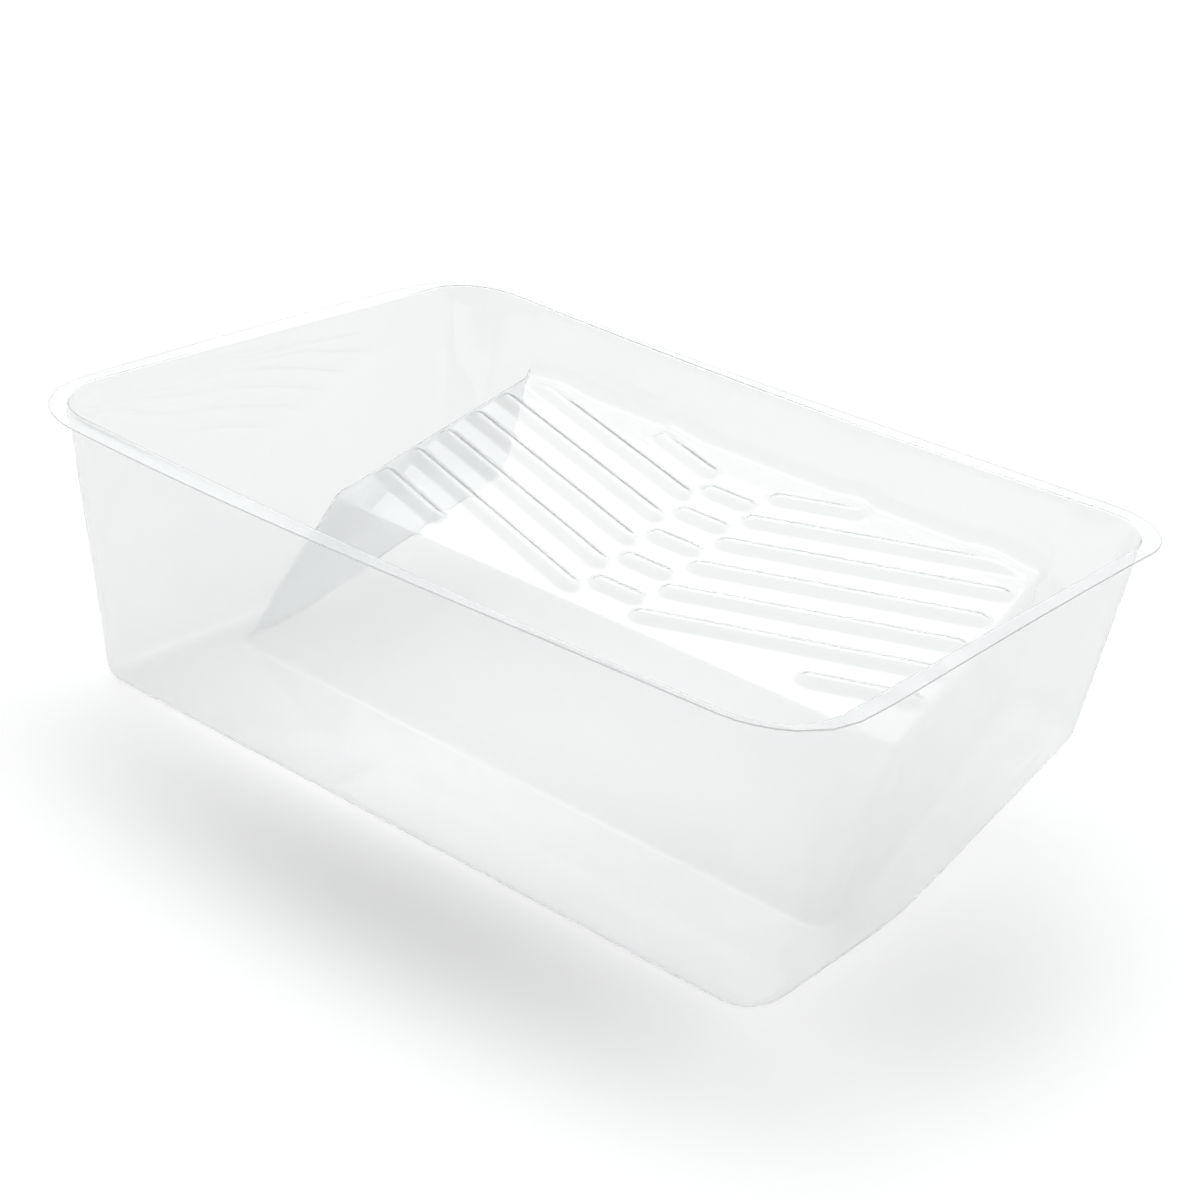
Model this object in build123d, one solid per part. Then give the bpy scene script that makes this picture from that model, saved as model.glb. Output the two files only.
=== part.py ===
from build123d import *
from math import atan2, cos, degrees, hypot, radians, sin, tan
import os

# A deep-well paint roller tray, vacuum formed from one clear plastic sheet: a rim
# flange, four tapered walls, a flat well floor, and a ramp block with a ribbed top and
# a narrow gutter along each side. It is one piece, so it is one solid.
#
# Frame: +X along the long sides, as the roller's axle lies, +Y from the well towards
# the shallow end, +Z up. The origin is the middle of the rim's outline in plan, at the
# underside of the well floor. Lengths are millimetres and angles degrees.

# Sheet and rim
RIM_LENGTH = 419.0        # over the flange, along X
RIM_WIDTH = 306.0         # over the flange, along Y
RIM_CORNER = 38.0         # plan radius of the flange's outer corners
HEIGHT = 140.0            # underside of the well floor to the top of the rim
SHEET = 0.6               # thickness of the formed sheet
FLANGE = 8.0              # how far the rim stands out past the walls
RIM_FOLD = 1.6            # radius where the walls turn out into the flange, on top
RIM_FOLD_UNDER = 0.5      # the same, on the underside

# Walls: outside faces, tapered so that trays nest
BASE_LENGTH = 380.0       # along X, where the walls meet the plane of the well floor
BASE_WIDTH = 242.0        # along Y
BASE_CORNER = 20.0        # plan radius at that plane
FLOOR_FILLET = 9.0        # inside radius between the walls and the floor

# Floor: flat under the well, then rising to the back wall under the two gutters
FLOOR_BREAK_Y = -17.0     # where the flat and the rising planes would meet
FLOOR_RISE = 17.5         # slope of the rising plane
FLOOR_BEND = 100.0        # radius that joins them, on the underside

# Ramp block: a steep front face and a sloping, ribbed top
RAMP_FOOT_Y = -46.0       # the front face would meet the plane z = 0 here
RAMP_LIP_Y = 5.0          # the front face would meet the ribbed top here
RAMP_LIP_Z = 66.0
RAMP_RISE = 16.2          # slope of the ribbed top
RAMP_FOOT_HALF = 170.0    # half of the block's width at the foot of its front face
RAMP_LIP_HALF = 164.5     # half of its width along the lip
RAMP_BACK_HALF = 153.5    # half of the ribbed top's width where it reaches RAMP_BACK_Y
RAMP_BACK_Y = 138.0
RAMP_CORNER = 7.0         # radius of the two upright front corners
RAMP_SHOULDER = 4.5       # radius along the lip and the side edges of the top
RAMP_FOOT_FILLET = 4.0    # radius where the block meets the floor

# Ribs: rows of two swept arms, with a short bar between that is set back from them
RIB_ROWS = 5
RIB_PITCH = 20.5          # from row to row, along Y
RIB_FIRST_Y = 12.5        # inner end of the arms in the front row
ARM_INNER_X = 14.0
ARM_SWEEP = 16.3          # slope of the arms in plan, outer ends further back
ARM_END_INSET = 3.5       # from an arm's outer end to the side edge of the top
LIP_STUB_X = 101.0        # the row in front is cut short by the lip: its arms start here
WALL_STUB_X = 64.0        # the row behind is cut short by the wall: its arms end here
BAR_HALF = 17.0           # half of a short bar's length
BAR_SETBACK = 10.4        # from the inner ends of a row's arms back to its bar
RIB_WIDTH = 11.0          # at the foot
RIB_HEIGHT = 3.5
RIB_DRAFT = 38.0          # slope of a rib's sides from upright
RIB_CROWN = 1.6           # radius along the top of a rib

REACH = 400.0             # beyond any face of the tray
TRIM = 6.0                # how far the untrimmed sheet reaches past the flange's edge
RIB_SINK = 1.0            # how far a rib's solid starts below the ramp's surface

RAMP_TOP = Plane(
    origin=(0, RAMP_LIP_Y, RAMP_LIP_Z),
    x_dir=(1, 0, 0),
    z_dir=(0, -sin(radians(RAMP_RISE)), cos(radians(RAMP_RISE))),
)


def wall_block():
    """The space inside the four walls, from the plane z = 0 up to the rim."""
    inner_length = RIM_LENGTH - 2 * FLANGE
    inner_width = RIM_WIDTH - 2 * FLANGE
    side_inset = SHEET * hypot(1, (inner_length - BASE_LENGTH) / 2 / HEIGHT)
    end_inset = SHEET * hypot(1, (inner_width - BASE_WIDTH) / 2 / HEIGHT)
    low = RectangleRounded(
        BASE_LENGTH - 2 * side_inset, BASE_WIDTH - 2 * end_inset, BASE_CORNER - SHEET
    )
    high = RectangleRounded(
        inner_length - 2 * side_inset, inner_width - 2 * end_inset, RIM_CORNER - FLANGE - SHEET
    )
    return loft([low, Pos(0, 0, HEIGHT) * high], ruled=True)


def above_floor():
    """Everything above the floor sheet: a side profile, as long as REACH both ways."""
    rise = radians(FLOOR_RISE)
    radius = FLOOR_BEND - SHEET
    bend_start_y = FLOOR_BREAK_Y - FLOOR_BEND * tan(rise / 2)

    def on_bend(angle):
        return (bend_start_y + radius * sin(angle), FLOOR_BEND - radius * cos(angle))

    end_y, end_z = on_bend(rise)
    far_y = end_y + REACH * cos(rise)
    far_z = end_z + REACH * sin(rise)
    bend = ThreePointArc(on_bend(0), on_bend(rise / 2), (end_y, end_z))
    rest = Polyline(
        (end_y, end_z), (far_y, far_z), (far_y, REACH), (-REACH, REACH), (-REACH, SHEET), on_bend(0)
    )
    return extrude(make_face(Plane.YZ * (bend + rest)), REACH, both=True)


def ramp_block():
    """The ramp without its ribs, reaching past the back wall and below the floor."""
    face_slope = RAMP_LIP_Z / (RAMP_LIP_Y - RAMP_FOOT_Y)
    below = -2 * RAMP_FOOT_FILLET
    far_z = RAMP_LIP_Z + (REACH - RAMP_LIP_Y) * tan(radians(RAMP_RISE))
    toe_y = RAMP_FOOT_Y + below / face_slope
    side_view = Polyline(
        (toe_y, below), (RAMP_LIP_Y, RAMP_LIP_Z), (REACH, far_z), (REACH, below), (toe_y, below)
    )

    foot = Vector(RAMP_FOOT_HALF, RAMP_FOOT_Y, 0)
    lip = Vector(RAMP_LIP_HALF, RAMP_LIP_Y, RAMP_LIP_Z)
    back_z = RAMP_LIP_Z + (RAMP_BACK_Y - RAMP_LIP_Y) * tan(radians(RAMP_RISE))
    back = Vector(RAMP_BACK_HALF, RAMP_BACK_Y, back_z)
    right_side = Plane(origin=lip, z_dir=(back - lip).cross(lip - foot))
    block = extrude(make_face(Plane.YZ * side_view), REACH, both=True)
    block = split(block, bisect_by=right_side, keep=Keep.BOTTOM)
    block &= mirror(block, about=Plane.YZ)

    mid_y = (toe_y + RAMP_LIP_Y) / 2
    corners = block.edges().filter_by(lambda e: abs(e.center().Y - mid_y) < 1 and abs(e.center().X) > 1)
    block = fillet(corners, RAMP_CORNER)

    def bounds_top(edge):
        middle = RAMP_TOP.to_local_coords(edge.center())
        ends = [RAMP_TOP.to_local_coords(edge @ 0), RAMP_TOP.to_local_coords(edge @ 1)]
        on_top = all(abs(point.Z) < 0.01 for point in ends + [middle])
        return on_top and edge.center().Z < HEIGHT - 1

    return fillet(block.edges().filter_by(bounds_top), RAMP_SHOULDER)


def rib(start, end):
    """A rib along the ramp's top between two (x, y) end points in plan, ends rounded."""
    along = 1 / cos(radians(RAMP_RISE))
    start_y = (start[1] - RAMP_LIP_Y) * along
    end_y = (end[1] - RAMP_LIP_Y) * along
    run = end[0] - start[0]
    drop = end_y - start_y
    width = RIB_WIDTH + 2 * RIB_SINK * tan(radians(RIB_DRAFT))
    outline = SlotCenterToCenter(hypot(run, drop) - RIB_WIDTH, width)
    centre = Pos((start[0] + end[0]) / 2, (start_y + end_y) / 2, -RIB_SINK)
    placed = centre * Rot(0, 0, degrees(atan2(drop, run))) * outline
    bar = extrude(RAMP_TOP * placed, RIB_HEIGHT + RIB_SINK, taper=RIB_DRAFT)
    crown = max(bar.faces(), key=lambda face: RAMP_TOP.to_local_coords(face.center()).Z)
    return fillet(crown.edges(), RIB_CROWN)


def rib_rows():
    """Every rib on the ramp, from the row that the lip cuts to the one the wall cuts."""
    ribs = []
    slope = tan(radians(ARM_SWEEP))
    narrowing = (RAMP_LIP_HALF - RAMP_BACK_HALF) / (RAMP_BACK_Y - RAMP_LIP_Y)
    for row in range(-1, RIB_ROWS + 1):
        row_y = RIB_FIRST_Y + row * RIB_PITCH
        axis_y = row_y - ARM_INNER_X * slope
        edge_x = (RAMP_LIP_HALF - narrowing * (axis_y - RAMP_LIP_Y)) / (1 + narrowing * slope)
        inner_x = LIP_STUB_X if row < 0 else ARM_INNER_X
        outer_x = WALL_STUB_X if row == RIB_ROWS else edge_x - ARM_END_INSET

        def arm_y(x):
            return axis_y + x * slope

        for side in (-1, 1):
            ribs.append(rib((side * inner_x, arm_y(inner_x)), (side * outer_x, arm_y(outer_x))))
        if 0 <= row < RIB_ROWS:
            bar_y = row_y + BAR_SETBACK
            ribs.append(rib((-BAR_HALF, bar_y), (BAR_HALF, bar_y)))
    return ribs


def paint_space():
    """All the space above the sheet, with a slab over the flange as its lid."""
    space = wall_block() & above_floor()

    def at_floor(edge):
        along_bend = abs(edge.center().X) < 1 and abs(edge.center().Y - FLOOR_BREAK_Y) < FLOOR_BEND / 2
        return edge.center().Z < HEIGHT - 1 and abs((edge % 0.5).Z) < 0.8 and not along_bend

    space = fillet(space.edges().filter_by(at_floor), FLOOR_FILLET) - ramp_block()

    def at_ramp_foot(edge):
        place = edge.center()
        near_block = abs(place.X) < RAMP_FOOT_HALF + RAMP_CORNER / 2
        clear_of_walls = abs(place.Y) < BASE_WIDTH / 2 + 2 * FLOOR_FILLET
        return near_block and clear_of_walls and place.Z < RAMP_LIP_Z and abs((edge % 0.5).Z) < 0.6

    space = fillet(space.edges().filter_by(at_ramp_foot), RAMP_FOOT_FILLET)
    space -= rib_rows()

    lid = RectangleRounded(RIM_LENGTH + 2 * TRIM, RIM_WIDTH + 2 * TRIM, RIM_CORNER + TRIM)
    return space + extrude(Pos(0, 0, HEIGHT) * lid, TRIM)


def edges_of_walls(sheet, z):
    """The sheet's edges at height z, without those of the flange's trimmed outline."""
    def belongs(edge):
        level = abs(edge.center().Z - z) < 0.02 and abs((edge @ 0).Z - z) < 0.02
        inside = abs(edge.center().X) < RIM_LENGTH / 2 - 1 and abs(edge.center().Y) < RIM_WIDTH / 2 - 1
        on_outline = edge.geom_type == GeomType.CIRCLE and abs(edge.radius - RIM_CORNER) < 1
        return level and inside and not on_outline

    return sheet.edges().filter_by(belongs)


def tray():
    """The formed sheet: an even skin around the paint space, trimmed at the flange."""
    space = paint_space()
    lid_top = space.faces().sort_by(Axis.Z)[-1]
    skin = offset(space, amount=SHEET, openings=[lid_top], kind=Kind.ARC)
    outline = RectangleRounded(RIM_LENGTH, RIM_WIDTH, RIM_CORNER)
    sheet = skin & extrude(Pos(0, 0, -SHEET) * outline, HEIGHT + SHEET)
    sheet = fillet(edges_of_walls(sheet, HEIGHT - SHEET), RIM_FOLD_UNDER)
    return fillet(edges_of_walls(sheet, HEIGHT), RIM_FOLD)


os.makedirs("parts", exist_ok=True)
solid = tray().solid()
solid.label = "tray"
export_step(solid, "parts/tray.step")
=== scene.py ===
"""A clear, vacuum-formed paint roller tray: the formed sheet, its plastic, the floor,
the light and the camera. Lengths are metres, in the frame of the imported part."""

import math

import bpy
import numpy as np
from mathutils import Matrix, Vector


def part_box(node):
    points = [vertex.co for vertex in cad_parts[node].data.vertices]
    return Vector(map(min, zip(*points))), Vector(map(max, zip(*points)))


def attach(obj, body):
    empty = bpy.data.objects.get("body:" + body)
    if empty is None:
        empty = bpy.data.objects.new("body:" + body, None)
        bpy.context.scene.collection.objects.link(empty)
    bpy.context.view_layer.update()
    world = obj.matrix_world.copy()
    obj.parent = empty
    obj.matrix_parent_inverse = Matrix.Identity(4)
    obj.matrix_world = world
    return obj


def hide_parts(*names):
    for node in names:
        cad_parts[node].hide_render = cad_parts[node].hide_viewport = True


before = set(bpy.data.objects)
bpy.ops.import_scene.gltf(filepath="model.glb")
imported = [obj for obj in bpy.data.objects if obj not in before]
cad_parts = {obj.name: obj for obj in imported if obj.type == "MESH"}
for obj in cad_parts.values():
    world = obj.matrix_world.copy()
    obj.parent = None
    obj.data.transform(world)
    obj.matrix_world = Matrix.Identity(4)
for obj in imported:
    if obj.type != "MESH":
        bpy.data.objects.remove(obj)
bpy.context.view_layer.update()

MM = 0.001

# Outside sizes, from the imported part
tray_low, tray_high = (np.array(corner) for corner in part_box("tray"))
HALF_LENGTH, HALF_WIDTH = (tray_high - tray_low)[:2] / 2
HEIGHT = tray_high[2]
SHEET = 0.6 * MM

# Rim and walls. The inside faces are ruled between a rounded rectangle at the plane of
# the well floor and one at the rim: half length, half width and corner radius of each.
FLANGE = 8 * MM
RIM_CORNER = 38 * MM
RIM_FOLD = 1.6 * MM
WALL_LOW = np.array([189.4, 120.4, 19.4]) * MM
WALL_HIGH = np.array([HALF_LENGTH, HALF_WIDTH, RIM_CORNER]) - FLANGE - SHEET
CORE_INSET = 10 * MM
FLOOR_FILLET = 9 * MM

# Floor: flat under the well, rising under the gutters
FLOOR_BREAK_Y = -17 * MM
FLOOR_RISE = math.radians(17.5)
FLOOR_BEND = 100 * MM

# Ramp block
RAMP_FOOT_Y = -46 * MM
RAMP_LIP = np.array([0, 5, 66]) * MM
RAMP_RISE = math.radians(16.2)
RAMP_FOOT_HALF = 170 * MM
RAMP_LIP_HALF = 164.5 * MM
RAMP_BACK_HALF = 153.5 * MM
RAMP_BACK_Y = 138 * MM
RAMP_CORNER = 7 * MM
RAMP_SHOULDER = 4.5 * MM
RAMP_FOOT_FILLET = 4 * MM

# Ribs
RIB_ROWS = 5
RIB_PITCH = 20.5 * MM
RIB_FIRST_Y = 12.5 * MM
ARM_INNER_X = 14 * MM
ARM_SWEEP = math.radians(16.3)
ARM_END_INSET = 3.5 * MM
LIP_STUB_X = 101 * MM
WALL_STUB_X = 64 * MM
BAR_HALF = 17 * MM
BAR_SETBACK = 10.4 * MM
RIB_HALF = 6.6 * MM
RIB_CROWN_HALF = 0.2 * MM
RIB_HEIGHT = 3.5 * MM
RIB_FADE_FROM = 1 * MM    # a rib fades out where the block's top rounds off below its plane
RIB_FADE_OVER = 2 * MM


# ---------------------------------------------------------------- surfaces
# A surface is a signed distance and a normal. Round joints follow the true angle
# between the two surfaces.

def round_max(first, second, radius):
    """The space inside both surfaces, with a rounded edge where they meet."""
    first_distance, first_normal = first
    second_distance, second_normal = second
    cosine = np.sum(first_normal * second_normal, axis=-1)
    sine_squared = np.maximum(1 - cosine**2, 1e-9)
    u, w = first_distance + radius, second_distance + radius
    along_first = (u - cosine * w) / sine_squared
    along_second = (w - cosine * u) / sine_squared
    spoke = along_first[..., None] * first_normal + along_second[..., None] * second_normal
    length = np.maximum(np.linalg.norm(spoke, axis=-1), 1e-12)
    rounded = (along_first > 0) & (along_second > 0)
    nearer_first = first_distance > second_distance
    flat_distance = np.where(nearer_first, first_distance, second_distance)
    flat_normal = np.where(nearer_first[..., None], first_normal, second_normal)
    distance = np.where(rounded, length - radius, flat_distance)
    return distance, np.where(rounded[..., None], spoke / length[..., None], flat_normal)


def round_min(first, second, radius):
    """Both solids together, with a fillet where they meet."""
    distance, normal = round_max((-first[0], -first[1]), (-second[0], -second[1]), radius)
    return -distance, -normal


def unit(vectors):
    return vectors / np.linalg.norm(vectors, axis=-1)[..., None]


def plane(point, origin, normal):
    normal = np.array(normal, dtype=float)
    distance = (point - np.array(origin)) @ normal
    return distance, np.broadcast_to(normal, point.shape)


def floor_height(y):
    """Top of the floor: flat, a bend, then the rise under the gutters."""
    radius = FLOOR_BEND - SHEET
    start = FLOOR_BREAK_Y - FLOOR_BEND * math.tan(FLOOR_RISE / 2)
    end = start + radius * math.sin(FLOOR_RISE)
    end_z = FLOOR_BEND - radius * math.cos(FLOOR_RISE)
    bend = FLOOR_BEND - np.sqrt(radius**2 - np.clip(y - start, 0, radius * 0.9) ** 2)
    return np.where(y < end, bend, end_z + (y - end) * math.tan(FLOOR_RISE))


def floor_surface(point):
    rise = np.where(point[..., 1] > FLOOR_BREAK_Y, math.tan(FLOOR_RISE), 0)
    normal = np.stack([0 * rise, -rise, 1 + 0 * rise], axis=-1)
    normal /= np.linalg.norm(normal, axis=-1)[..., None]
    return (point[..., 2] - floor_height(point[..., 1])) * normal[..., 2], normal


def ramp_surface(point):
    """The block under the ribs, on the side x > 0."""
    face = math.atan2(RAMP_LIP[2], RAMP_LIP[1] - RAMP_FOOT_Y)
    front = plane(point, (0, RAMP_FOOT_Y, 0), (0, -math.sin(face), math.cos(face)))
    foot = np.array([RAMP_FOOT_HALF, RAMP_FOOT_Y, 0])
    lip = RAMP_LIP + [RAMP_LIP_HALF, 0, 0]
    run = RAMP_BACK_Y - RAMP_LIP[1]
    along_edge = np.array([RAMP_BACK_HALF - RAMP_LIP_HALF, run, run * math.tan(RAMP_RISE)])
    side = plane(point, lip, unit(np.cross(along_edge, lip - foot)))
    top = plane(point, RAMP_LIP, (0, -math.sin(RAMP_RISE), math.cos(RAMP_RISE)))
    return round_max(round_max(front, side, RAMP_CORNER), top, RAMP_SHOULDER)


HEIGHT_MARGIN = 20 * MM            # how far past the floor and the rim a height is looked for
HALVINGS = 30


def height_at(x, y):
    """Height of the floor or the block, whichever is on top, by halving the interval."""
    low = np.full(np.shape(x), -HEIGHT_MARGIN)
    high = np.full(np.shape(x), HEIGHT + HEIGHT_MARGIN)
    for _ in range(HALVINGS):
        middle = (low + high) / 2
        point = np.stack([np.abs(x), y, middle], axis=-1)
        distance, _normal = round_min(floor_surface(point), ramp_surface(point), RAMP_FOOT_FILLET)
        above = distance > 0
        high = np.where(above, middle, high)
        low = np.where(above, low, middle)
    return (low + high) / 2


def wall_section(z):
    """Straight half length, straight half width and corner radius of the walls at z."""
    size = WALL_LOW + (WALL_HIGH - WALL_LOW) * (z / HEIGHT)[..., None]
    return size[..., 0] - size[..., 2], size[..., 1] - size[..., 2], size[..., 2]


# ---------------------------------------------------------------- lattice

COLUMNS = 80                       # on each side of the middle
SAMPLES = 600                      # places on each row that are weighed to space the columns
CLIMB_WEIGHT = 0.12                # what a climb adds to a column's share of its row
TURN_WEIGHT = 8 * MM               # what a turn of one radian adds to it
WELL_ROW_STEP = 4.5 * MM
FOOT_ROW_STEP = 1 * MM
FACE_ROW_STEP = 2.4 * MM
RAMP_ROW_STEP = 0.8 * MM
FOOT_ROWS = (RAMP_FOOT_Y - 5 * MM, RAMP_FOOT_Y + 4 * MM)
RAMP_ROWS_FROM_Y = -4 * MM
RAMP_END = np.array(104 * MM)      # height of the ramp where it meets the back wall
GUTTER_END = np.array(38 * MM)     # height of the gutters there
BLEND_FROM_Y = 96 * MM             # rows bend from here to follow the foot of the back wall
BACK_EDGE_PASSES = 8


def spaced(start, end, step):
    return np.linspace(start, end, round((end - start) / step) + 1)[:-1]


def lattice_rows():
    """Where the rows of the lattice lie, from the front of the well to the back wall."""
    _, half, radius = wall_section(np.array(0.0))
    _, back_half, back_radius = wall_section(RAMP_END)
    end = back_half + back_radius - CORE_INSET
    return np.concatenate([
        spaced(CORE_INSET - half - radius, FOOT_ROWS[0], WELL_ROW_STEP),
        spaced(*FOOT_ROWS, FOOT_ROW_STEP),
        spaced(FOOT_ROWS[1], RAMP_ROWS_FROM_Y, FACE_ROW_STEP),
        spaced(RAMP_ROWS_FROM_Y, end, RAMP_ROW_STEP),
        [end],
    ])


def columns_at(rows, side):
    """Column positions of each row, from the middle to the side, closer on tight bends."""
    x = side[:, None] * np.linspace(0, 1, SAMPLES)
    z = height_at(x, np.broadcast_to(rows[:, None], x.shape))
    run, climb = np.diff(x, axis=1), np.diff(z, axis=1)
    weight = run + CLIMB_WEIGHT * np.abs(climb)
    weight[:, 1:] += TURN_WEIGHT * np.abs(np.diff(np.arctan2(climb, run), axis=1))
    reach = np.concatenate([np.zeros((len(rows), 1)), np.cumsum(weight, axis=1)], axis=1)
    share = np.linspace(0, 1, COLUMNS + 1)
    return np.array([np.interp(share * line[-1], line, places) for line, places in zip(reach, x)])


def back_edge(x, corner, end):
    """How far back the lattice goes at each x: to the back wall's foot, whatever its height."""
    y = np.full(x.shape, end)
    for _ in range(BACK_EDGE_PASSES):
        _, half, radius = wall_section(height_at(x, y))
        y = half + radius - CORE_INSET
    return np.where(x >= corner[0], corner[1] + corner[2], y)


def round_corner(x, y, corner):
    """Turns the square corner of the lattice into a quarter disc."""
    centre_x, centre_y, radius = corner
    p, q = (x - centre_x) / radius, (y - centre_y) / radius
    inside = (p > 0) & (q > 0)
    small, large = np.minimum(p, q), np.maximum(p, q)
    part = math.pi / 4 * small / np.where(inside, large, 1)
    angle = np.where(p >= q, part, math.pi / 2 - part)
    return (
        np.where(inside, centre_x + radius * large * np.cos(angle), x),
        np.where(inside, centre_y + radius * large * np.sin(angle), y),
    )


def lattice():
    """Points on the floor and the ramp, rows by columns, up to the foot of the walls."""
    rows = lattice_rows()
    front_corner = [float(v) for v in wall_section(np.array(0.0))]
    back_corner = [float(v) for v in wall_section(GUTTER_END)]
    for corner in (front_corner, back_corner):
        corner[2] -= CORE_INSET
    half, _, radius = wall_section(np.minimum(floor_height(rows), GUTTER_END))
    x = columns_at(rows, half + radius - CORE_INSET)
    end = back_edge(x[-1], back_corner, rows[-1])
    blend = np.clip((rows - BLEND_FROM_Y) / (rows[-1] - BLEND_FROM_Y), 0, 1)[:, None]
    y = rows[:, None] + blend * (end - rows[-1])
    x, y = round_corner(x, y, back_corner)
    x, y_front = round_corner(x, -y, front_corner)
    y = -y_front
    x = np.concatenate([-x[:, :0:-1], x], axis=1)
    y = np.concatenate([y[:, :0:-1], y], axis=1)
    return np.stack([x, y, height_at(x, y)], axis=-1)


# ---------------------------------------------------------------- ribs

def distance_to_rib(x, y, start, end):
    """Distance in the ramp's plane to a rib's middle line, which stops short of its ends."""
    start, end = np.array(start), np.array(end)
    along = (end - start) / np.linalg.norm(end - start)
    start, end = start + along * RIB_HALF, end - along * RIB_HALF
    length = np.linalg.norm(end - start)
    from_start = np.stack([x - start[0], y - start[1]], axis=-1)
    nearest = np.clip(from_start @ along, 0, length)
    return np.linalg.norm(from_start - nearest[..., None] * along, axis=-1)


def rib_rise(x, y):
    """Height of the ribs above the ramp's plane, at places in that plane."""
    x = np.abs(x)
    nearest = np.full(x.shape, 1.0)
    stretch = 1 / math.cos(RAMP_RISE)
    sweep = math.tan(ARM_SWEEP)
    narrowing = (RAMP_LIP_HALF - RAMP_BACK_HALF) / (RAMP_BACK_Y - RAMP_LIP[1])
    for row in range(-1, RIB_ROWS + 1):
        row_y = RIB_FIRST_Y + row * RIB_PITCH
        axis_y = row_y - ARM_INNER_X * sweep
        edge_x = (RAMP_LIP_HALF - narrowing * (axis_y - RAMP_LIP[1])) / (1 + narrowing * sweep)
        inner = LIP_STUB_X if row < 0 else ARM_INNER_X
        outer = WALL_STUB_X if row == RIB_ROWS else edge_x - ARM_END_INSET
        ends = [(place, (axis_y + place * sweep) * stretch) for place in (inner, outer)]
        nearest = np.minimum(nearest, distance_to_rib(x, y, *ends))
        if 0 <= row < RIB_ROWS:
            bar_y = (row_y + BAR_SETBACK) * stretch
            ends = [(-BAR_HALF, bar_y), (BAR_HALF, bar_y)]
            nearest = np.minimum(nearest, distance_to_rib(x, y, *ends))
    climbed = np.clip((RIB_HALF - nearest) / (RIB_HALF - RIB_CROWN_HALF), 0, 1)
    return RIB_HEIGHT * (1 - np.cos(math.pi * climbed)) / 2


def with_ribs(points):
    """The lattice with the ribs raised out of the block's top."""
    out = np.array([0, -math.sin(RAMP_RISE), math.cos(RAMP_RISE)])
    depth = (points - RAMP_LIP) @ out
    behind_lip = points[..., 1] > RAMP_LIP[1]
    on_top = np.clip(1 + (depth + RIB_FADE_FROM) / RIB_FADE_OVER, 0, 1) * behind_lip
    rise = rib_rise(points[..., 0], points[..., 1] / math.cos(RAMP_RISE)) * on_top
    return points + rise[..., None] * out


# ---------------------------------------------------------------- walls and rim

FILLET_STEPS = 7
WALL_STEPS = 9
FOLD_STEPS = 4
WALL_FOOT_PASSES = 25
FILLET_SHARE = 0.8        # of the way from the walls' foot to the lattice, at most
FLANGE_SHARES = (0.96, 1)   # rings across the flange: one close to the cut edge, and the edge


def wall_point(outward, share, z):
    """Points on the walls' inside faces at height z: a share of each straight, then outward."""
    half, end, radius = wall_section(z)
    centre = np.stack([share[..., 0] * half, share[..., 1] * end], axis=-1)
    return np.concatenate([centre + radius[..., None] * outward, z[..., None]], axis=-1)


def arc(start, corner, end, steps):
    """Points on the round that joins two straight runs meeting at the corner."""
    leg_in, leg_out = unit(start - corner), unit(end - corner)
    weight = np.sqrt((1 - np.sum(leg_in * leg_out, axis=-1)) / 2)[..., None]
    points = []
    for t in np.linspace(0, 1, steps + 1):
        a, b, c = (1 - t) ** 2, 2 * t * (1 - t) * weight, t**2
        points.append((a * start + b * corner + c * end) / (a + b + c))
    return points


def wall_rings(foot):
    """Rings of points from the edge of the lattice, up the walls and out over the rim."""
    half, end, _ = wall_section(foot[:, 2])
    nearest = np.stack([np.clip(foot[:, 0], -half, half), np.clip(foot[:, 1], -end, end)], axis=-1)
    outward = unit(foot[:, :2] - nearest)
    share = nearest / np.stack([half, end], axis=-1)
    z = foot[:, 2]
    for _ in range(WALL_FOOT_PASSES):
        place = wall_point(outward, share, z)
        z = (z + height_at(place[:, 0], place[:, 1])) / 2
    corner = wall_point(outward, share, z)
    top = wall_point(outward, share, np.full(z.shape, HEIGHT))
    up, back = unit(top - corner), unit(foot - corner)
    opening = np.arccos(np.clip(np.sum(up * back, axis=-1), -1, 1))
    longest = FILLET_SHARE * np.linalg.norm(foot - corner, axis=-1)
    leg = np.minimum(FLOOR_FILLET / np.tan(opening / 2), longest)[:, None]
    rings = arc(corner + back * leg, corner, corner + up * leg, FILLET_STEPS)
    flat_out = np.concatenate([outward, np.zeros((len(outward), 1))], axis=-1)
    opening = np.arccos(np.clip(np.sum(-up * flat_out, axis=-1), -1, 1))
    leg = (RIM_FOLD / np.tan(opening / 2))[:, None]
    fold_start = top - up * leg
    first = rings[-1]
    rings += [first + (fold_start - first) * k / WALL_STEPS for k in range(1, WALL_STEPS)]
    rings += arc(fold_start, top, top + flat_out * leg, FOLD_STEPS)
    edge = top + flat_out * (FLANGE + SHEET)
    fold_end = rings[-1]
    rings += [fold_end + (edge - fold_end) * part for part in FLANGE_SHARES]
    return rings, flat_out


# ---------------------------------------------------------------- waves of a thin sheet

RIM_SAG = 4.5 * MM                 # of the long rims at their middles
WALL_WAVE = 0.35 * MM
FRONT_LIFT = (0.4 * MM, 2.6 * MM)  # of the flange's free edge: even part and wave
BACK_LIFT = 1.5 * MM
END_LIFT = 1.2 * MM
LONG_SIDE_FROM = 0.6               # share of the half width where a long side's wave begins


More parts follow.
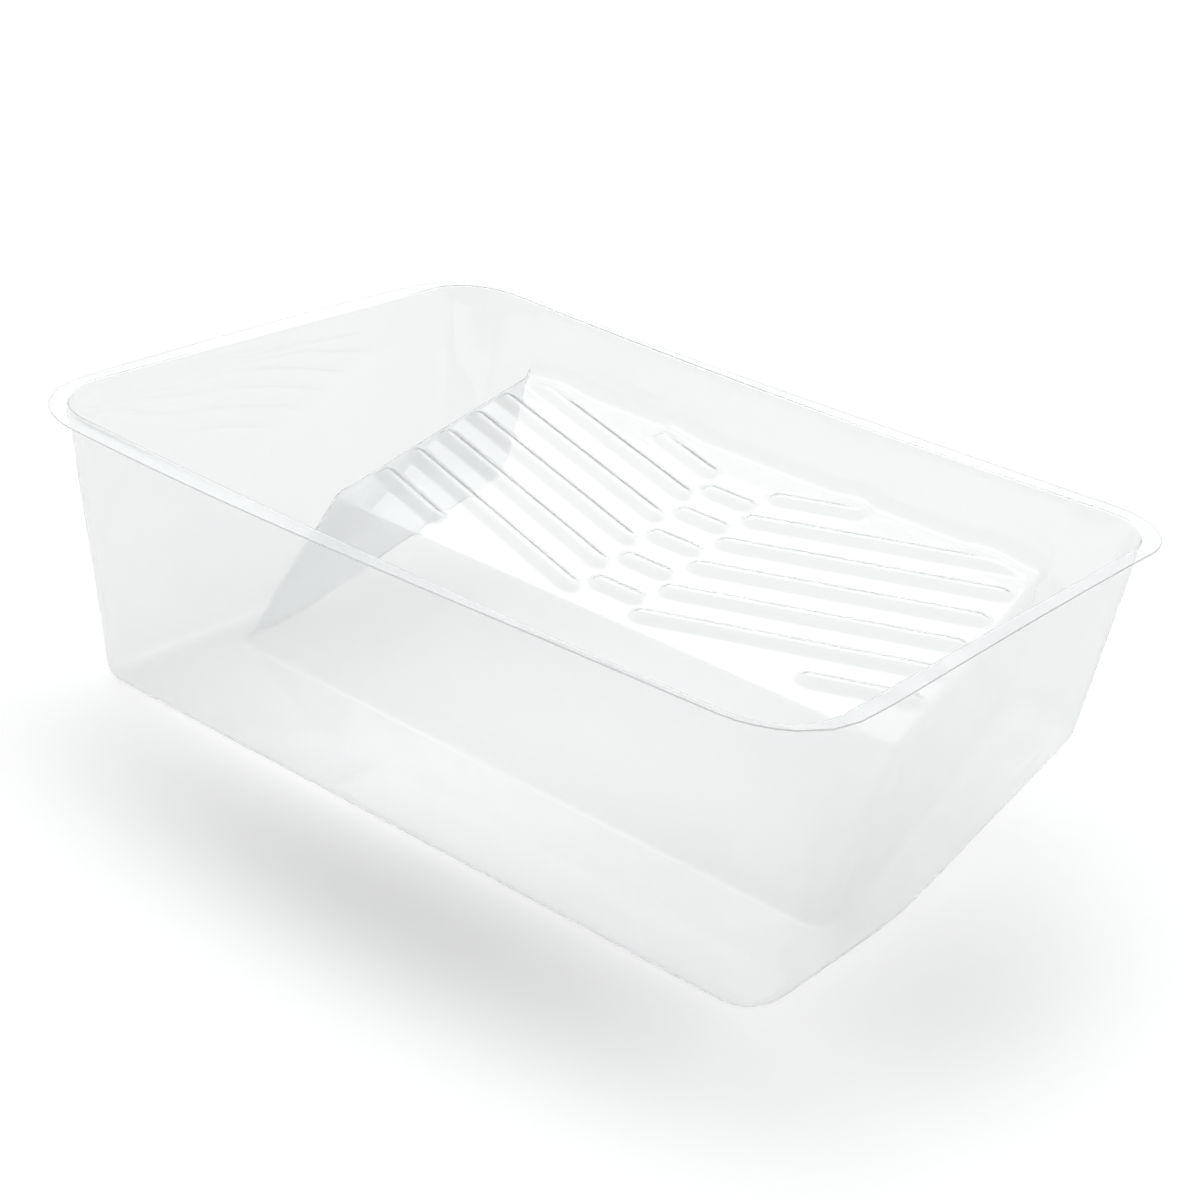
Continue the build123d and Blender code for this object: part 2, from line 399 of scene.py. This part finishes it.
def rim_lift(points):
    """How far the flange's free edge stands above its fold, along the four sides."""
    x, y = points[:, 0] / HALF_LENGTH, points[:, 1] / HALF_WIDTH
    front = FRONT_LIFT[0] + FRONT_LIFT[1] * np.sin(math.pi * (x + 0.1) / 1.43)
    back = BACK_LIFT * np.sin(2.3 * x + 0.8)
    ends = END_LIFT * np.sin(2.1 * y + 1.0)
    along_front = np.clip((-y - LONG_SIDE_FROM) / (1 - LONG_SIDE_FROM), 0, 1)
    along_back = np.clip((y - LONG_SIDE_FROM) / (1 - LONG_SIDE_FROM), 0, 1)
    return front * along_front + back * along_back + ends * (1 - along_front - along_back)


def waved(points, outward, wall_share, flange_share):
    """The sheet as it really lies: its long rims sag and its walls are never quite flat."""
    x, y, z = points[:, 0] / HALF_LENGTH, points[:, 1] / HALF_WIDTH, points[:, 2] / HEIGHT
    turn = np.arctan2(y, x)
    wave = np.sin(6 * turn + 0.7 + 2 * z)
    wave += 0.7 * np.sin(10 * turn + 2.1 - 3 * z)
    wave += 0.4 * np.sin(17 * turn)
    bulge = WALL_WAVE * wave * np.sin(math.pi * np.clip(z, 0, 1)) * wall_share
    points = points + outward * bulge[:, None]
    sag = RIM_SAG * np.clip(1 - x**2, 0, 1) * np.clip(y**2, 0, 1) ** 2 * np.clip(z, 0, 1) ** 4
    points[:, 2] += rim_lift(points) * flange_share - sag
    return points


# ---------------------------------------------------------------- the sheet

def grid_faces(index):
    """The faces between the points of a grid, from the points' numbers."""
    corners = [index[:-1, :-1], index[:-1, 1:], index[1:, 1:], index[1:, :-1]]
    return np.stack(corners, axis=-1).reshape(-1, 4)


def formed_sheet():
    """The tray's mesh: the paint side, the same skin set back by the sheet, and the cut edge."""
    core = with_ribs(lattice())
    rows, columns = core.shape[:2]
    index = np.arange(rows * columns).reshape(rows, columns)
    border = np.concatenate([index[0, :-1], index[:-1, -1], index[-1, :0:-1], index[:0:-1, 0]])
    core = core.reshape(-1, 3)
    rings, flat_out = wall_rings(core[border])
    count = len(border)
    ring_index = len(core) + np.arange(len(rings) * count).reshape(len(rings), count)
    loops = np.concatenate([border[None], ring_index])
    loops = np.concatenate([loops, loops[:, :1]], axis=1)
    quads = np.concatenate([grid_faces(index), grid_faces(loops)[:, ::-1]])

    wall_first = FILLET_STEPS + 1
    level = np.arange(len(rings))
    wall_share = np.clip((level - wall_first) / 2, 0, 1)
    flange_share = np.zeros(len(rings))
    flange_share[-len(FLANGE_SHARES):] = FLANGE_SHARES
    points = np.concatenate([core] + rings)
    outward = np.concatenate([np.zeros_like(core)] + [flat_out] * len(rings))
    still = np.zeros(len(core))
    points = waved(
        points,
        outward,
        np.concatenate([still, np.repeat(wall_share, count)]),
        np.concatenate([still, np.repeat(flange_share, count)]),
    )

    normals = np.zeros_like(points)
    for corner in range(4):
        here, after, before = (quads[:, (corner + step) % 4] for step in (0, 1, 3))
        cross = np.cross(points[after] - points[here], points[before] - points[here])
        np.add.at(normals, here, cross)
    normals = unit(normals)
    under = points - normals * SHEET
    edge = loops[-1]
    cut = np.stack([edge[1:], edge[:-1], edge[:-1] + len(points), edge[1:] + len(points)], axis=-1)
    faces = np.concatenate([quads, quads[:, ::-1] + len(points), cut])
    mesh = bpy.data.meshes.new("formed_sheet")
    mesh.from_pydata(np.concatenate([points, under]).tolist(), [], faces.tolist())
    is_cut = np.arange(len(faces)) >= 2 * len(quads)
    mesh.polygons.foreach_set("use_smooth", ~is_cut)
    mesh.polygons.foreach_set("material_index", is_cut.astype(np.int32))
    mesh.update()
    sheet = bpy.data.objects.new("formed_sheet", mesh)
    bpy.context.collection.objects.link(sheet)
    return sheet


# ---------------------------------------------------------------- materials

def add(tree, kind, **inputs):
    """A new node whose named inputs are set to values or linked to sockets."""
    node = tree.nodes.new(kind)
    for name, value in inputs.items():
        socket = node.inputs[name.replace("_", " ")]
        if isinstance(value, bpy.types.NodeSocket):
            tree.links.new(value, socket)
        else:
            socket.default_value = value
    return node


def add_values(tree, first, second):
    """The sum of a number or socket and a socket."""
    both = tree.nodes.new("ShaderNodeMath")
    both.operation = "ADD"
    if isinstance(first, bpy.types.NodeSocket):
        tree.links.new(first, both.inputs[0])
    else:
        both.inputs[0].default_value = first
    tree.links.new(second, both.inputs[1])
    return both.outputs["Value"]


PLASTIC_IOR = 1.57


def clear_plastic():
    """Clear sheet with a faint cloudiness in its gloss and a fine ripple."""
    material = bpy.data.materials.new("clear_plastic")
    material.use_nodes = True
    tree = material.node_tree
    shader = tree.nodes["Principled BSDF"]
    shader.inputs["Base Color"].default_value = (0.988, 0.995, 0.996, 1)
    shader.inputs["Transmission Weight"].default_value = 0.9
    shader.inputs["IOR"].default_value = PLASTIC_IOR
    place = add(tree, "ShaderNodeTexCoord").outputs["Object"]
    cloud = add(tree, "ShaderNodeTexNoise", Vector=place, Scale=14.0, Detail=3.0)
    rough = add(tree, "ShaderNodeMapRange", Value=cloud.outputs["Fac"], To_Min=0.02, To_Max=0.10)
    rough.inputs["From Min"].default_value = 0.3
    rough.inputs["From Max"].default_value = 0.75
    tree.links.new(rough.outputs["Result"], shader.inputs["Roughness"])
    ripple = add(tree, "ShaderNodeTexNoise", Vector=place, Scale=45.0, Detail=2.0)
    bump = add(tree, "ShaderNodeBump", Height=ripple.outputs["Fac"], Strength=0.08, Distance=0.0008)
    tree.links.new(bump.outputs["Normal"], shader.inputs["Normal"])
    return material


def cut_plastic():
    """The sheared edge of the sheet: rough, with fine shear marks, so that it looks white."""
    material = bpy.data.materials.new("cut_plastic")
    material.use_nodes = True
    tree = material.node_tree
    shader = tree.nodes["Principled BSDF"]
    shader.inputs["Base Color"].default_value = (0.96, 0.97, 0.97, 1)
    shader.inputs["Transmission Weight"].default_value = 0.2
    shader.inputs["IOR"].default_value = PLASTIC_IOR
    place = add(tree, "ShaderNodeTexCoord").outputs["Object"]
    marks = add(tree, "ShaderNodeTexNoise", Vector=place, Scale=900.0, Detail=2.0)
    rough = add(tree, "ShaderNodeMapRange", Value=marks.outputs["Fac"], To_Min=0.4, To_Max=0.7)
    tree.links.new(rough.outputs["Result"], shader.inputs["Roughness"])
    bump = add(tree, "ShaderNodeBump", Height=marks.outputs["Fac"], Strength=0.3, Distance=0.0002)
    tree.links.new(bump.outputs["Normal"], shader.inputs["Normal"])
    return material


GLOW = 0.67
# Painted light and painted shade in the floor's glow: two lighter spots under the tray, one darker
# spot in front of it and one beside its right end.
PAINTED_LIGHT_AND_SHADE_SPOTS = [                # centre and reach along x and y, and the glow added there: painted light where positive, painted shade where negative
    ((0.00, -0.01), (0.24, 0.17), 0.22),
    ((0.04, -0.165), (0.27, 0.085), -0.25),
    ((0.24, -0.05), (0.08, 0.15), -0.13),
    ((-0.08, -0.07), (0.18, 0.09), 0.10),
]


def painted_floor_light_and_shade(tree):
    """How strongly the floor glows: an even glow, with painted light under the tray and painted
    shade in front of it and beside its right end.
    """
    place = add(tree, "ShaderNodeTexCoord").outputs["Object"]
    total = GLOW
    # Each spot adds painted light where its value is positive and painted shade where it is
    # negative.
    for centre, reach, painted_light in PAINTED_LIGHT_AND_SHADE_SPOTS:
        near = add(tree, "ShaderNodeMapping", Vector=place)
        near.vector_type = "TEXTURE"
        near.inputs["Location"].default_value = (*centre, 0)
        near.inputs["Scale"].default_value = (*reach, 1)
        far = tree.nodes.new("ShaderNodeVectorMath")
        far.operation = "LENGTH"
        tree.links.new(near.outputs["Vector"], far.inputs[0])
        spot = add(tree, "ShaderNodeMapRange", Value=far.outputs["Value"], To_Min=painted_light, To_Max=0.0)
        spot.interpolation_type = "SMOOTHSTEP"
        total = add_values(tree, total, spot.outputs["Result"])
    return total


def floor_paper_painted_light_and_shade():
    """White paper that glows, with painted light under the tray and painted shade in front of it,
    so that the clear tray stays bright.
    """
    material = bpy.data.materials.new("floor_paper_painted_light_and_shade")
    material.use_nodes = True
    tree = material.node_tree
    shader = tree.nodes["Principled BSDF"]
    shader.inputs["Base Color"].default_value = (0.42, 0.42, 0.42, 1)
    shader.inputs["Emission Color"].default_value = (1, 1, 1, 1)
    # The glow strength carries the painted light under the tray and the painted shade in front of
    # it.
    tree.links.new(painted_floor_light_and_shade(tree), shader.inputs["Emission Strength"])
    shader.inputs["Roughness"].default_value = 0.9
    shader.inputs["Specular IOR Level"].default_value = 0.0
    return material


# ---------------------------------------------------------------- floor, light, camera

FLOOR_REACH = 8.0
FLOOR_GAP = 0.2 * MM               # keeps the floor clear of the tray's underside


def make_floor():
    mesh = bpy.data.meshes.new("floor")
    turns = [(-1, -1), (1, -1), (1, 1), (-1, 1)]
    mesh.from_pydata([(x * FLOOR_REACH, y * FLOOR_REACH, 0) for x, y in turns], [], [(0, 1, 2, 3)])
    floor = bpy.data.objects.new("floor", mesh)
    bpy.context.collection.objects.link(floor)
    floor.location.z = -FLOOR_GAP
    floor.data.materials.append(floor_paper_painted_light_and_shade())


SKY = 0.5
SKY_COLOR = (0.99, 1.0, 1.005, 1)
SOFTBOXES = [                 # direction from the tray, angular reach in degrees, radiance added
    ((-0.35, 0.35, 0.87), 38, 0.8),
    ((-0.55, 0.75, 0.3), 95, 0.6),
    ((-0.45, -0.7, 0.5), 60, 0.15),
]
SOFTBOX_CORE = 0.98           # cosine of the angle within which a soft box is even


def make_world():
    """An even studio with large soft boxes, drawn as smooth spots around the tray."""
    world = bpy.data.worlds.new("studio")
    bpy.context.scene.world = world
    world.use_nodes = True
    tree = world.node_tree
    tree.nodes.clear()
    direction = add(tree, "ShaderNodeTexCoord").outputs["Generated"]
    total = SKY
    for toward, reach, radiance in SOFTBOXES:
        facing = add(tree, "ShaderNodeVectorMath")
        facing.operation = "DOT_PRODUCT"
        tree.links.new(direction, facing.inputs[0])
        facing.inputs[1].default_value = Vector(toward).normalized()
        spot = add(tree, "ShaderNodeMapRange", Value=facing.outputs["Value"], To_Max=radiance)
        spot.interpolation_type = "SMOOTHSTEP"
        spot.inputs["From Min"].default_value = math.cos(math.radians(reach))
        spot.inputs["From Max"].default_value = SOFTBOX_CORE
        total = add_values(tree, total, spot.outputs["Result"])
    light = add(tree, "ShaderNodeBackground", Color=SKY_COLOR, Strength=total)
    out = tree.nodes.new("ShaderNodeOutputWorld")
    tree.links.new(light.outputs["Background"], out.inputs["Surface"])


CAMERA_PLACE = (1.37823, -1.91606, 1.28502)        # in lengths of the tray
CAMERA_YAW = math.radians(-35.386)
CAMERA_PITCH = math.radians(25.155)                # downwards
CAMERA_ROLL = math.radians(6.978)
SENSOR_WIDTH = 36                                  # sensor and lens in millimetres
LENS = 73.12


def make_camera():
    """The view from the front right corner, a little above, with the camera tipped."""
    yaw, pitch, roll = CAMERA_YAW, CAMERA_PITCH, CAMERA_ROLL
    ahead = math.cos(pitch)
    forward = Vector((math.sin(yaw) * ahead, math.cos(yaw) * ahead, -math.sin(pitch)))
    level = Vector((math.cos(yaw), -math.sin(yaw), 0))
    upright = level.cross(forward)
    right = math.cos(roll) * level + math.sin(roll) * upright
    up = -math.sin(roll) * level + math.cos(roll) * upright
    data = bpy.data.cameras.new("camera")
    data.sensor_width = SENSOR_WIDTH
    data.lens = LENS
    camera = bpy.data.objects.new("camera", data)
    place = Vector(CAMERA_PLACE) * 2 * HALF_LENGTH
    camera.matrix_world = Matrix((
        (right.x, up.x, -forward.x, place.x),
        (right.y, up.y, -forward.y, place.y),
        (right.z, up.z, -forward.z, place.z),
        (0, 0, 0, 1),
    ))
    bpy.context.collection.objects.link(camera)
    bpy.context.scene.camera = camera


BOUNCES = 24                       # a line of sight can cross the sheet a dozen times


def set_light_paths():
    scene = bpy.context.scene
    scene.view_settings.view_transform = "Standard"
    scene.cycles.max_bounces = BOUNCES
    scene.cycles.transmission_bounces = BOUNCES
    scene.cycles.use_denoising = True


sheet = formed_sheet()
sheet.data.materials.append(clear_plastic())
sheet.data.materials.append(cut_plastic())
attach(sheet, "root")
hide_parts("tray")
make_floor()
make_world()
make_camera()
set_light_paths()

bpy.context.view_layer.update()
